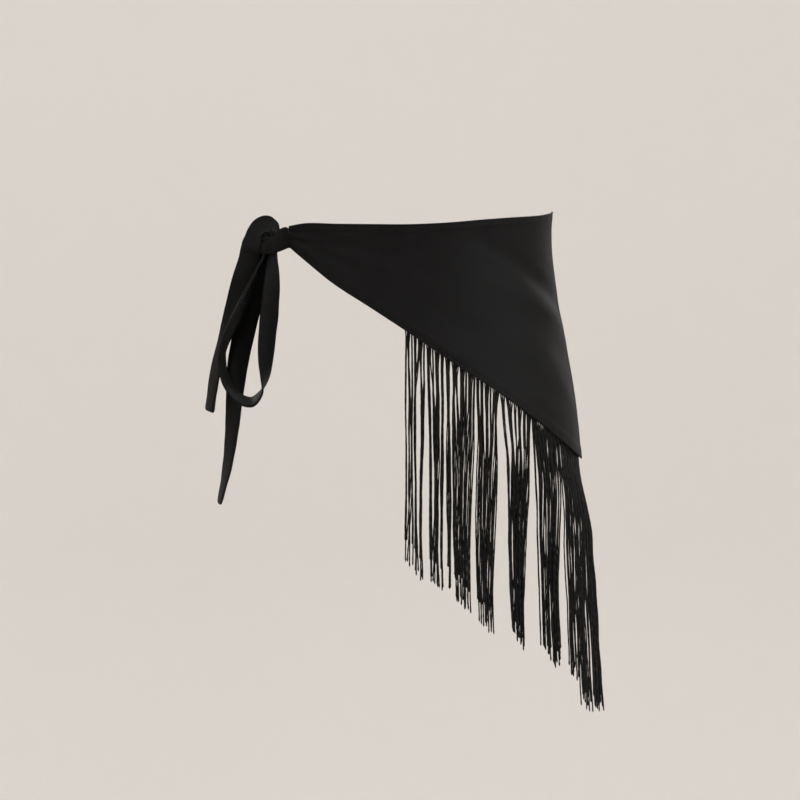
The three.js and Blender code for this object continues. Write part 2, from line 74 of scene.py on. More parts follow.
# The clothed figure that fills the wrap
FIGURE = rows(
    "drop half_width half_depth",
    (-0.01, 0.1235, 0.093),
    (0, 0.1225, 0.092),
    (0.02, 0.122, 0.0915),
    (0.04, 0.1235, 0.0925),
    (0.06, 0.126, 0.0945),
    (0.08, 0.129, 0.097),
    (0.11, 0.135, 0.1015),
    (0.14, 0.1405, 0.106),
    (0.17, 0.1445, 0.11),
    (0.205, 0.148, 0.113),
    (0.24, 0.1505, 0.115),
    (0.3, 0.155, 0.119),
    (0.36, 0.1595, 0.1225),
    (0.43, 0.164, 0.126),
)
EDGE_DEPTH = FIGURE[1]["half_depth"]  # at the wrap's top edge

# The heights of the wrap's top edge and of its hem
EDGES = rows(
    "turn top hem",
    (0, 0.0044, -0.207),
    (10, 0.004, -0.204),
    (20, 0.0026, -0.197),
    (30, 0.0015, -0.1865),
    (45, 0.0002, -0.1665),
    (60, -0.0017, -0.1438),
    (75, -0.0042, -0.121),
    (90, -0.0056, -0.097),
    (105, -0.0055, -0.0755),
    (120, -0.0052, -0.0568),
    (135, -0.0046, -0.0376),
    (147, -0.007, -0.0245),
)

# The largest folds: troughs, or ridges where the height is positive
FRONT_FOLDS = rows(
    "from_turn from_z to_turn to_z reach height",
    (60, -0.02, 12, -0.072, 0.011, -0.0026),
    (46, -0.058, 8, -0.092, 0.012, 0.002),
    (96, -0.084, 66, -0.122, 0.009, 0.001),
    (130, -0.018, 100, -0.034, 0.007, -0.0009),
)
BACK_FOLDS = rows(
    "from_turn from_z to_turn to_z reach height",
    (54, -0.024, 14, -0.064, 0.012, -0.0022),
    (40, -0.066, 12, -0.104, 0.013, 0.0018),
    (104, -0.02, 72, -0.052, 0.01, -0.0014),
    (132, -0.016, 108, -0.03, 0.007, -0.0008),
)

# The smaller creases, which a hand feels more than the eye sees
FRONT_CREASES = rows(
    "from_turn from_z to_turn to_z reach height",
    (63, -0.036, 36, -0.066, 0.006, -0.0006),
    (34, -0.028, 14, -0.046, 0.006, -0.0005),
    (30, -0.104, 6, -0.128, 0.009, -0.0008),
    (28, -0.132, 8, -0.166, 0.010, 0.0007),
    (52, -0.118, 30, -0.152, 0.008, -0.0005),
    (88, -0.066, 60, -0.104, 0.008, -0.0005),
    (112, -0.028, 84, -0.060, 0.007, 0.0005),
    (126, -0.030, 106, -0.050, 0.005, -0.0004),
    (143, -0.014, 128, -0.012, 0.0022, -0.0004),
    (144, -0.018, 124, -0.024, 0.0024, -0.00035),
    (142, -0.0105, 132, -0.0085, 0.0016, -0.0003),
)
BACK_CREASES = rows(
    "from_turn from_z to_turn to_z reach height",
    (66, -0.040, 34, -0.058, 0.006, -0.0006),
    (30, -0.022, 12, -0.038, 0.006, -0.0005),
    (34, -0.112, 8, -0.142, 0.009, -0.0008),
    (24, -0.146, 6, -0.178, 0.010, 0.0007),
    (60, -0.098, 36, -0.138, 0.008, -0.0006),
    (96, -0.056, 70, -0.092, 0.008, 0.0005),
    (118, -0.022, 92, -0.046, 0.007, -0.0005),
    (144, -0.013, 126, -0.014, 0.0022, -0.0004),
    (143, -0.019, 128, -0.022, 0.0020, -0.00035),
)
GATHER = {"waves": 3, "height": 0.0006, "length": 20}
FINE_GATHER = {"waves": 7, "height": 0.00012, "length": 9}
FOLD_END = 0.06  # a fold's ends are as deep as it is at this share of its length

# A panel's edges: the distance from the edge, and the share of the full thickness there
EDGE_ROUNDING = ((0.0, 0.3), (0.00018, 0.66), (0.00045, 0.9), (0.0009, 1.0))
NUB_REACH = 0.0022  # how far from the side seam its top stands up
HEM_SLANT = 0.8  # the distance straight across the slanting hem, as a share of the height over it
CROWDING = 0.4  # how much closer a panel's rows lie near its top edge and its hem

# The cloth's own unevenness, a slow one and a finer one
UNEVENNESS = rows(
    "height per_turn per_metre seed",
    (0.00035, 0.055, 26, 3.1),
    (0.00012, 0.19, 95, 7.7),
)
# Widths of the turned-in cloth at the top edge, the hem and the side seam, as shares of the hem's
ALLOWANCES = (0.8, 1.0, 1.2)
ALLOWANCE_STEP = 0.0016  # how softly the turned-in cloth's edge shows
STITCH_LINE = {"depth": 0.00022, "from_edge": 0.0022, "reach": 0.0011}
PUCKERS = {
    "height": 0.00014, "per_turn": 2.9, "drift": 4, "drift_per_turn": 0.3,
    "from_hem": 0.003, "reach": 0.003,
}

# The clumps that the fringe hangs in: from and to are the turns of their roots
CLUMPS = rows(
    "from to tip spread drop",
    (91.5, 88.6, 90.1, 2.6, 0.19),
    (88.6, 84, 87.2, 2.4, 0.197),
    (84, 77.5, 81.8, 4.6, 0.196),
    (77.5, 75.5, 77.8, 1.4, 0.19),
    (75.5, 66.5, 73.8, 5.2, 0.196),
    (66.5, 57, 66.4, 5, 0.2),
    (57, 44, 55.6, 4.2, 0.195),
    (44, 29, 42.6, 7.4, 0.193),
    (29, 20, 31.6, 4, 0.194),
    (20, 0, 17.4, 22, 0.215),
)

# How a strand hangs, by shares of its length. Jitter and stray are in degrees of turn.
HANGING = {
    "jitter": 0.3, "stray": 1.6, "stray_chance": 0.12,
    "gather_start": 0.02, "gather_power": 1.9,
    "bundle_start": 0.01, "bundle_length": 0.06,
    "forward_start": 0.028, "forward_length": 0.3,
    "loose_length": 0.22,
}
# A strand's sways, sideways in degrees of turn and outwards in metres
SIDE_SWAYS = rows("size per_metre", (0.26, 44), (0.09, 120), (0.03, 330))
DEPTH_SWAYS = rows("size per_metre", (0.00050, 75), (0.00025, 170))
MELTED_TIP = {"length": 0.0022, "swell": 0.45, "swell_end": 1.1, "taper": 0.35}
BUNDLE_COUNTS = (1, 2, 3, 3, 4)
BUNDLE_SPREAD = 0.7  # the share of the distance between them that a bundle's tips keep
LAYERS = 3
FRINGE_SEED = 11
ROOT_STEP = 0.05  # degrees of turn between two tries for the next root
# How much wider the back's strands end, and the turn below which they close up evenly
BACK_SPREAD = {"close": 30, "wider": 1.05}

HEADING = {"columns": 330, "margin": 0.5, "rib": 0.00012, "bulge": 0.00008, "inset": 0.0001}
HEADING_LEVELS = (1.0, 0.82, 0.5, 0.18, 0.0)
# The heading's stitches: the step is in degrees of turn, and the rows are shares of its height
STITCH = {"thread": 0.0002, "step": 1.22, "length": 0.72, "dip": 0.00016, "rise": 0.00006}
STITCH_ROWS = (0.3, 0.78)
STITCH_STATIONS = (0, 0.15, 0.5, 0.85, 1)

# The ties: a place on the middle line, the width and the thickness as shares of the tie's own,
# and the direction across, by its swing towards the wearer's left and its rise
SHORT_TAIL = rows(
    "x y z wide thick swing rise cup",
    (-0.1146, -0.037, -0.021, 0.45, 1.1, -30, 0, 0),
    (-0.114, -0.038, -0.014, 0.58, 1, -30, -24, 0.0006),
    (-0.1147, -0.0384, -0.008, 0.67, 1, -28, -35, 0.0014),
    (-0.1182, -0.039, -0.006, 0.84, 1, -15, -52, 0.002),
    (-0.1222, -0.0395, -0.0055, 0.9, 1, -4, -56, 0.0022),
    (-0.1269, -0.0403, -0.0073, 0.88, 1, 15, -53, 0.002),
    (-0.1313, -0.042, -0.0124, 0.84, 1, 33, -42, 0.0014),
    (-0.133, -0.0435, -0.018, 0.9, 1, 48, -33, 0.0006),
    (-0.1347, -0.0448, -0.0249, 0.92, 1, 61, -24, 0),
    (-0.1357, -0.0424, -0.0336, 0.91, 1, 86, -13, -0.0006),
    (-0.1406, -0.0428, -0.052, 1, 1, 84, 0, -0.0012),
    (-0.149, -0.0405, -0.079, 1, 1, 58, 0, -0.001),
    (-0.1584, -0.036, -0.105, 1, 1, 31, 0, -0.0006),
    (-0.1654, -0.033, -0.132, 1, 1, 26, 0, -0.0006),
    (-0.1706, -0.031, -0.165, 1, 1, 24, 0, -0.0006),
)
LONG_TAIL = rows(
    "x y z wide thick swing rise cup",
    (-0.1194, -0.0356, -0.022, 0.4, 1.2, 88, 0, 0),
    (-0.1205, -0.036, -0.03, 0.4, 1.2, 88, 0, 0),
    (-0.124, -0.036, -0.0364, 0.72, 1.1, 87, 0, -0.0003),
    (-0.1264, -0.0362, -0.046, 0.8, 1, 86, 0, -0.0008),
    (-0.1306, -0.0365, -0.06, 0.93, 1, 84, 0, -0.0012),
    (-0.1365, -0.037, -0.08, 0.975, 1, 78, 0, -0.0014),
    (-0.142, -0.0375, -0.103, 1, 1, 70, 0, -0.0012),
    (-0.1462, -0.038, -0.126, 1, 1, 62, 0, -0.0009),
    (-0.149, -0.038, -0.152, 1, 1, 47, 0, -0.0006),
    (-0.151, -0.038, -0.18, 1, 1, 36, 0, -0.0006),
    (-0.1546, -0.038, -0.208, 1, 1, 26, 0, -0.0004),
    (-0.1618, -0.038, -0.2435, 1, 1, 10, 0, -0.0002),
)
LOOP = rows(
    "x y z wide thick swing rise cup",
    (-0.115, -0.042, -0.021, 0.35, 1.1, -50, 0, 0),
    (-0.1156, -0.0434, -0.032, 0.45, 1.1, -50, 0, 0),
    (-0.116, -0.0474, -0.044, 0.7, 1, -49, 0, 0.0006),
    (-0.1168, -0.0504, -0.058, 0.9, 1, -48, 0, 0.0012),
    (-0.1184, -0.052, -0.078, 1, 1, -47, 0, 0.0014),
    (-0.1204, -0.0535, -0.098, 1, 1, -46, 0, 0.0012),
    (-0.1218, -0.054, -0.12, 1, 1, -36, 0, 0.0008),
    (-0.1226, -0.0545, -0.136, 1, 1, -18, 0, 0.0004),
    (-0.1258, -0.055, -0.1485, 1, 1, 6, -10, 0),
    (-0.1336, -0.0555, -0.156, 1, 1, 6, -22, 0),
    (-0.1434, -0.0565, -0.1536, 1, 1, -6, -20, 0),
    (-0.152, -0.058, -0.1445, 1, 1, -15, -10, 0),
    (-0.1576, -0.0595, -0.13, 1, 1, -17, 0, 0),
    (-0.158, -0.06, -0.112, 1, 1, -12, 0, 0),
    (-0.1536, -0.06, -0.094, 1, 1, -4, 0, 0),
    (-0.1456, -0.059, -0.076, 0.95, 1, 0, 0, 0),
    (-0.1366, -0.056, -0.058, 0.85, 1, 0, 0, 0),
    (-0.1286, -0.051, -0.042, 0.57, 1, 0, 0, 0),
    (-0.1236, -0.0438, -0.033, 0.34, 1, 0, 0, 0),
    (-0.1216, -0.0428, -0.024, 0.32, 1.1, 0, 0, 0),
)
FRONT_TIE = rows(
    "x y z wide thick swing rise cup",
    (-0.1012, -0.0501, -0.0162, 0.82, 0.5, 0, 90, 0),
    (-0.1034, -0.0497, -0.0168, 0.92, 0.9, 0, 90, 0),
    (-0.106, -0.0499, -0.0178, 0.89, 1, 0, 90, 0.0002),
    (-0.1094, -0.0504, -0.0203, 0.79, 1, 0, 90, 0.0006),
    (-0.1134, -0.0514, -0.0229, 0.67, 1, 0, 90, 0.0008),
    (-0.1185, -0.0522, -0.0248, 0.6, 1, 0, 90, 0.001),
    (-0.1232, -0.05, -0.0257, 0.53, 1, 0, 90, 0.0006),
    (-0.1271, -0.0444, -0.0258, 0.49, 1, 0, 90, 0.0002),
    (-0.1272, -0.0376, -0.0254, 0.47, 1, 0, 90, 0),
    (-0.1238, -0.0314, -0.024, 0.46, 1, 0, 90, 0),
    (-0.1176, -0.0284, -0.0224, 0.46, 1, 0, 90, 0),
)
BACK_TIE_ON_WAIST = rows(
    "turn z wide",
    (147.4, -0.0164, 0.86),
    (154, -0.018, 0.86),
    (162, -0.0174, 0.9),
    (171, -0.0166, 0.9),
    (180, -0.0156, 0.86),
    (188, -0.0146, 0.74),
)
BACK_TIE_END = rows(
    "x y z wide thick swing rise cup",
    (-0.121, -0.022, -0.013, 0.55, 1.1, 0, 90, 0),
    (-0.12, -0.028, -0.0126, 0.45, 1.2, 0, 90, 0),
    (-0.1186, -0.035, -0.0136, 0.4, 1.2, 0, 90, 0),
)

# The relief of a tie's cloth: places across are from -0.5 to 0.5, depths are shares of the
# thickness, and the wave and the flutter are in metres
TIE_RELIEF = {
    "drawn_from": 0.97, "drawn_over": 0.45,
    "folds": 2.6, "fold_depth": 0.34, "fold_drift": 0.5, "drift_per_metre": 50,
    "fine_folds": 4.3, "fine_depth": 0.14, "fine_per_metre": 9, "fine_seed": 0.37,
    "edge_at": 0.41, "edge_reach": 0.05, "edge_rise": 0.10,
    "seam_at": 0.02, "seam_reach": 0.03, "seam_depth": 0.05,
    "wave": 0.00042, "wave_per_metre": 34, "wave_across": 1.6,
    "flutter": 0.00038, "flutter_per_metre": 70,
}
TIE_EDGE_POWER, TIE_FACE_POWER = 0.55, 0.42
TIE_END = {"narrower": 0.9, "thinner": 0.4}

KNOT = {
    "middle": Vector((-0.1190, -0.0380, -0.0186)),
    "half": Vector((0.0116, 0.0104, 0.0086)),
    "ribs": 3,
    "rib_height": 0.06,
    "twist": 2.4,
    "uneven": 0.03,
    "segments": 120,
    "rings": 64,
    "cloth": (0.060, 0.028),
}
# The knot is pressed in until it lies this gap under the ties that are within reach of it
PRESS = {"gap": 0.0003, "reach": 0.004, "share": 0.94, "tries": 10}
# The knot's folds run from one end of it to the other, round its length
KNOT_FOLDS = rows(
    "start end reach depth",
    (0.2, 0.9, 0.20, 0.16),
    (1.3, 1.8, 0.16, 0.13),
    (2.3, 3.1, 0.22, 0.17),
    (3.5, 3.9, 0.15, 0.12),
    (4.4, 5.2, 0.20, 0.15),
    (5.5, 5.9, 0.14, 0.12),
)

TWILL = {"rib": 0.0009, "thread": 0.00045}
PLY_LENGTH = 0.0021

ROOM = {"floor": -3.2, "slope": 1.6, "wall": 8.0, "corner": 0.8, "corner_steps": 8, "sides": 96}
LIGHTS = rows(
    "name place size setting",
    ("key", (3.0, -1.7, 1.5), 2.2, "key"),
    ("fill", (-2.8, -2.6, 1.5), 2.4, "fill"),
    ("back_left", (-1.6, 3.2, 1.6), 2.0, "rim"),
    ("back_right", (2.4, 2.8, 1.2), 2.0, "rim"),
)
LIT_PLACE = Vector((0, 0, -0.16))
AIR_COLOUR = (1.0, 0.995, 0.985, 1.0)
CAMERA = {
    "eye": Vector((-0.008, -3.5, -0.020)),
    "aim": Vector((-0.008, 0, -0.1565)),
    "lens": 183.14,
    "sensor": 36.0,
    "nearest": 0.1,
    "farthest": 40.0,
}


def read(table, key, column, at):
    """A column's value between two rows of a table, on a smooth curve through the rows."""
    last = len(table) - 1
    row = 0
    while row < last - 1 and at > table[row + 1][key]:
        row += 1

    def slope(index):
        before, after = table[max(index - 1, 0)], table[min(index + 1, last)]
        return (after[column] - before[column]) / (after[key] - before[key])

    start, end = table[row], table[row + 1]
    span = end[key] - start[key]
    t = min(max((at - start[key]) / span, 0), 1)
    return (
        (1 + 2 * t) * (1 - t) ** 2 * start[column]
        + t * t * (3 - 2 * t) * end[column]
        + t * (1 - t) ** 2 * span * slope(row)
        + t * t * (t - 1) * span * slope(row + 1)
    )


def on_figure(side, turn, z, out):
    """A place on the clothed figure, moved outwards."""
    angle = math.radians(turn)
    half_width = read(FIGURE, "drop", "half_width", -z)
    half_depth = read(FIGURE, "drop", "half_depth", -z)
    cosine, sine = math.cos(angle), math.sin(angle)
    away = Vector((cosine / half_width, -side * sine / half_depth, 0)).normalized()
    return Vector((half_width * cosine, -side * half_depth * sine, z)) + away * out


def outwards(side, turn, z):
    """The direction straight out of the figure."""
    return on_figure(side, turn, z, 1) - on_figure(side, turn, z, 0)


def hem_at(turn):
    return read(EDGES, "turn", "hem", turn)


def smooth(share):
    """From 0 to 1 with no corner at either end."""
    t = min(max(share, 0), 1)
    return t * t * (3 - 2 * t)


def hump(distance, reach):
    """1 at no distance, and soon 0 past the reach."""
    return math.exp(-((distance / reach) ** 2))


class Mesh:
    """Points, faces and their places on the cloth, gathered until the piece is finished."""

    def __init__(self):
        self.points, self.faces, self.places = [], [], []

    def skin(self, rings, round_again=0.0):
        """A closed solid through rings of (point, along, across)."""
        start, count = len(self.points), len(rings[0])
        self.points += [point for ring in rings for point, _, _ in ring]

        def corner(ring, i):
            _, along, across = rings[ring][i % count]
            return start + ring * count + i % count, (along, across + round_again * (i // count))

        quads = [
            [corner(r, i), corner(r, i + 1), corner(r + 1, i + 1), corner(r + 1, i)]
            for r in range(len(rings) - 1)
            for i in range(count)
        ]
        for r in (0, len(rings) - 1):
            for i in range((count - 1) // 2):
                across = count - 1 - i
                steps = (i, i + 1, across - 1, across)
                ladder = [corner(r, step) for step in dict.fromkeys(steps)]
                if len(ladder) > 2:
                    quads.append(ladder if r else ladder[::-1])
        for quad in quads:
            self.faces.append([index for index, _ in quad])
            self.places += [place for _, place in quad]

    def piece(self, name, material, node=None, slot=None):
        """The finished piece, closed, with its faces pointing out."""
        mesh = bpy.data.meshes.new(name)
        mesh.from_pydata(self.points, [], self.faces)
        layer = mesh.uv_layers.new(name="cloth")
        layer.data.foreach_set("uv", [value for place in self.places for value in place])
        made = bpy.data.objects.new(name, mesh)
        bpy.context.collection.objects.link(made)
        return finish_piece(made, material, node)


def finish_piece(made, material, node):
    """Closes a piece, points its faces out, and gives it its finish and its place in the frame."""
    shape = bmesh.new()
    shape.from_mesh(made.data)
    bmesh.ops.remove_doubles(shape, verts=shape.verts, dist=1e-6)
    bmesh.ops.dissolve_degenerate(shape, edges=shape.edges, dist=1e-7)
    bmesh.ops.recalc_face_normals(shape, faces=shape.faces)
    shape.to_mesh(made.data)
    shape.free()
    only(made)
    bpy.ops.object.shade_smooth_by_angle(angle=math.radians(55))
    made.data.materials.clear()
    made.data.materials.append(material)
    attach(made, "root")
    if node:
        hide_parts(node)
    return made


def only(made):
    """Selects one object and nothing else."""
    bpy.ops.object.select_all(action="DESELECT")
    made.select_set(True)
    bpy.context.view_layer.objects.active = made


# Shader nodes


class Signal:
    """A shader's value or colour, so that sums on values are written as sums."""

    def __init__(self, shader, socket):
        self.shader, self.socket = shader, socket

    def math(self, operation, *terms):
        inputs = dict(enumerate(terms))
        return self.shader.node("ShaderNodeMath", {"operation": operation}, inputs)

    def __add__(self, other):
        return self.math("ADD", self, other)

    def __radd__(self, other):
        return self.math("ADD", other, self)

    def __sub__(self, other):
        return self.math("SUBTRACT", self, other)

    def __rsub__(self, other):
        return self.math("SUBTRACT", other, self)

    def __mul__(self, other):
        return self.math("MULTIPLY", self, other)

    def __rmul__(self, other):
        return self.math("MULTIPLY", other, self)

    def wave(self):
        return self.math("SINE", self)

    def within(self):
        """Kept from 0 to 1."""
        return self.shader.node("ShaderNodeClamp", {}, {"Value": self})


class Shader:
    """A material that is built up node by node."""

    def __init__(self, name):
        self.material = bpy.data.materials.new(name)
        self.material.use_nodes = True
        self.material.node_tree.nodes.clear()

    def node(self, kind, settings, inputs, output=0):
        made = self.material.node_tree.nodes.new(kind)
        for key, value in settings.items():
            setattr(made, key, value)
        for key, value in inputs.items():
            if isinstance(value, Signal):
                self.material.node_tree.links.new(value.socket, made.inputs[key])
            else:
                made.inputs[key].default_value = value
        return Signal(self, made.outputs[output] if made.outputs else None)

    def mottle(self, scale, detail=2.0):
        """A soft noise in the row's own metres."""
        place = self.node("ShaderNodeTexCoord", {}, {}, "Object")
        return self.node("ShaderNodeTexNoise", {}, {"Vector": place, "Scale": scale, "Detail": detail})

    def place_on_cloth(self):
        """How far along the cloth and how far across it, in metres."""
        place = self.node("ShaderNodeUVMap", {"uv_map": "cloth"}, {})
        return [self.node("ShaderNodeSeparateXYZ", {}, {0: place}, axis) for axis in "XY"]

    def blend(self, share, first, second):
        settings = {"data_type": "RGBA", "clamp_factor": True}
        return self.node("ShaderNodeMix", settings, {0: share, 6: first, 7: second}, 2)

    def surface(self, height, bump_depth, bump_strength, inputs):
        normal = self.node(
            "ShaderNodeBump", {}, {"Strength": bump_strength, "Distance": bump_depth, "Height": height}
        )
        body = self.node("ShaderNodeBsdfPrincipled", {}, {**inputs, "Normal": normal})
        self.node("ShaderNodeOutputMaterial", {}, {"Surface": body})
        return self.material


def opaque(colour, lift):
    """The colour, made lighter or darker, for a shader's socket."""
    return (*[channel * lift for channel in colour[:3]], 1.0)


def cloth_finish(name, colour, sheen):
    """Fine twill: slanting ribs, threads across them, a soft mottle and a few paler slubs."""
    shader = Shader(name)
    along, across = shader.place_on_cloth()
    rib = ((along + across) * (2 * math.pi / TWILL["rib"])).wave()
    thread = ((along - across) * (2 * math.pi / TWILL["thread"])).wave()
    nap = shader.mottle(2600, 3.0)
    cloud = shader.mottle(26, 2.0)
    slub = ((shader.mottle(420, 1.0) - 0.66) * 6).within()
    shade = (cloud * 0.7 + rib * 0.06 + nap * 0.3 + slub * 0.4 - 0.2).within()
    return shader.surface(
        rib * 0.5 + thread * 0.25 + nap * 0.8 + slub * 0.6,
        0.00006,
        0.5,
        {
            "Base Color": shader.blend(shade, opaque(colour, 0.72), opaque(colour, 1.5)),
            "Roughness": (0.50 + cloud * 0.1 + nap * 0.12).within(),
            "Specular IOR Level": 0.06,
            "Sheen Weight": sheen,
            "Sheen Roughness": 0.42,
            "Sheen Tint": (1.0, 0.96, 0.93, 1.0),
        },
    )


def yarn_finish(name, colour):
    """Two-ply thread: grooves that wind round it, with painted shade in the grooves and a painted
    highlight on each ply, and a gloss that comes and goes with the fibres.
    """
    shader = Shader(name)
    along, across = shader.place_on_cloth()
    ply = (along * (2 * math.pi / PLY_LENGTH) + across * (2 * math.pi)).wave()
    fibre = shader.mottle(1800, 2.0)
    cloud = shader.mottle(60, 1.0)
    # painted shade and painted highlight: the colour darkens in the ply grooves and lightens on the
    # plies, mixed with the fibres' own random tone
    shade = (ply * 0.3 + fibre * 0.5 + cloud * 0.4 - 0.1).within()
    return shader.surface(
        ply * 0.7 + fibre * 0.5,
        0.00012,
        0.6,
        {
            "Base Color": shader.blend(shade, opaque(colour, 0.55), opaque(colour, 1.7)),
            "Roughness": (0.42 + fibre * 0.2).within(),
            "Specular IOR Level": 0.08,
            "Sheen Weight": 0.004,
        },
    )


def wall_finish(name, colour):
    """Matt painted studio wall with a faint unevenness."""
    shader = Shader(name)
    cloud = shader.mottle(0.9, 1.0)
    grain = shader.mottle(60, 2.0)
    return shader.surface(
        grain,
        0.0005,
        0.15,
        {
            "Base Color": shader.blend(cloud, opaque(colour, 0.985), opaque(colour, 1.015)),
            "Roughness": (0.86 + grain * 0.08).within(),
            "Specular IOR Level": 0.1,
        },
    )


# The wrap


def fold_height(fold, turn, z):
    """How far a fold raises the cloth at a place."""
    along_x = (fold["to_turn"] - fold["from_turn"]) * PER_TURN
    along_z = fold["to_z"] - fold["from_z"]
    x, z = (turn - fold["from_turn"]) * PER_TURN, z - fold["from_z"]
    share = (x * along_x + z * along_z) / (along_x**2 + along_z**2)
    share = min(max(share, 0), 1)
    away = math.hypot(x - along_x * share, z - along_z * share)
    fade = math.sqrt(math.sin(math.pi * min(max(share, FOLD_END), 1 - FOLD_END)))
    return fold["height"] * fade * hump(away, fold["reach"])


def ripple(gather, turn, share):
    """The waves down the cloth where it is drawn together at its narrow end."""
    drawn = math.exp(-(END_TURN - turn) / gather["length"])
    wave = math.sin(2 * math.pi * gather["waves"] * share)
    return wave * gather["height"] * drawn * math.sin(math.pi * share)


def relief(folds, turn, z, share):
    """The large relief, which the heading of the fringe follows too."""
    return sum(fold_height(fold, turn, z) for fold in folds) + ripple(GATHER, turn, share)


def panel_turns(columns):
    """The turns of the panel's columns, each with its share of the full thickness."""
    seam = math.degrees(SEAM_GAP / 2 / EDGE_DEPTH)
    first = [(seam + inset / PER_TURN_AT_SEAM, share) for inset, share in EDGE_ROUNDING]
    last = [(END_TURN - inset / PER_TURN_AT_SEAM, share) for inset, share in reversed(EDGE_ROUNDING)]
    start, span = first[-1][0], last[0][0] - first[-1][0]
    middle = [(start + span * i / columns, 1.0) for i in range(1, columns)]
    return first + middle + last


def panel(side, folds, creases, sizes):
    """The wrap's front or back: two layers turned at the edges, with rolled hems."""
    mesh = Mesh()
    rings = []
    for turn, full in panel_turns(sizes.columns):
        from_seam = turn * PER_TURN_AT_SEAM
        top = read(EDGES, "turn", "top", turn) + sizes.nub * hump(from_seam, NUB_REACH)
        hem = hem_at(turn)
        outer, inner = [], []
        half = sizes.cloth / 2 * full
        for row in range(sizes.rows + 1):
            share = row / sizes.rows
            share = (1 - CROWDING) * share + CROWDING * smooth(share)
            z = top - sizes.roll + (hem - top + 2 * sizes.roll) * share
            distances = (top - z, (z - hem) * HEM_SLANT, from_seam)
            raised = relief(folds, turn, z, share) + relief_of_making(
                side, creases, turn, z, share, distances, sizes
            )
            middle = raised - sizes.cloth / 2
            along = turn * PER_TURN
            outer.append((on_figure(side, turn, z, middle + half), along, z))
            inner.insert(0, (on_figure(side, turn, z, middle - half), along, z))
        rings.append(outer + turned_edge(outer[-1], inner[0], -sizes.roll) + inner
                     + turned_edge(inner[-1], outer[0], sizes.roll))
    mesh.skin(rings)
    return mesh


def turned_edge(first, second, reach):
    """The rounded edge where one layer turns into the other."""
    (start, along, z), (end, _, _) = first, second
    made = []
    for angle in (45, 90, 135):
        share = (1 - math.cos(math.radians(angle))) / 2
        rise = reach * math.sin(math.radians(angle))
        point = start.lerp(end, share)
        point.z += rise
        made.append((point, along, z + rise))
    return made


def relief_of_making(side, creases, turn, z, share, distances, sizes):
    """The small relief: creases, seam allowances under the cloth, and the pull of the stitches."""
    raised = sum(fold_height(crease, turn, z) for crease in creases)
    raised += ripple(FINE_GATHER, turn, share)
    for layer in UNEVENNESS:
        place = Vector((turn * layer["per_turn"], z * layer["per_metre"], layer["seed"] * side))
        raised += layer["height"] * noise.noise(place)
    for distance, wide in zip(distances, ALLOWANCES):
        inside = (sizes.allowance * wide - distance) / ALLOWANCE_STEP
        raised += sizes.allowance_rise * smooth(inside + 0.5)
        raised -= STITCH_LINE["depth"] * hump(distance - STITCH_LINE["from_edge"], STITCH_LINE["reach"])
    drift = noise.noise(Vector((turn * PUCKERS["drift_per_turn"], 0, side)))
    puckers = math.sin(turn * PUCKERS["per_turn"] + PUCKERS["drift"] * drift)
    from_hem = distances[1]
    raised += PUCKERS["height"] * puckers * hump(from_hem - PUCKERS["from_hem"], PUCKERS["reach"])
    return raised


# The fringe


def root_turns(side, sizes):
    """The turns of the strands' roots, evenly spaced along the slanting hem."""
    turns, turn = [sizes.start], sizes.start
    last = on_figure(side, turn, hem_at(turn), 0)
    while turn > sizes.end:
        place = on_figure(side, turn, hem_at(turn), 0)
        if (place - last).length >= sizes.spacing:
            turns.append(turn)
            last = place
        turn -= ROOT_STEP
    return turns


def spread_turn(side, turn):
    """The back's strands end a little further from the middle than the front's."""
    if side == FRONT:
        return turn
    close = BACK_SPREAD["close"]

    def outer(angle):
        return math.degrees(math.acos(min(math.cos(math.radians(angle)) * BACK_SPREAD["wider"], 1)))

    return turn * outer(close) / close if turn < close else outer(turn)


def bundles(held, chance):
    """The strands of a clump in small bundles, which hang together from the hem down."""
    made, start = [], 0
    while start < len(held):
        count = chance.choice(BUNDLE_COUNTS)
        made.append(held[start : start + count])
        start += count
    return made


def any_phase(chance):
    return chance.uniform(0, 6.28)


def swaying(table, sways, length):
    """The sum of a table's waves at a length down a strand."""
    return sum(
        row["size"] * strength * math.sin(length * row["per_metre"] + phase)
        for row, (strength, phase) in zip(table, sways)
    )


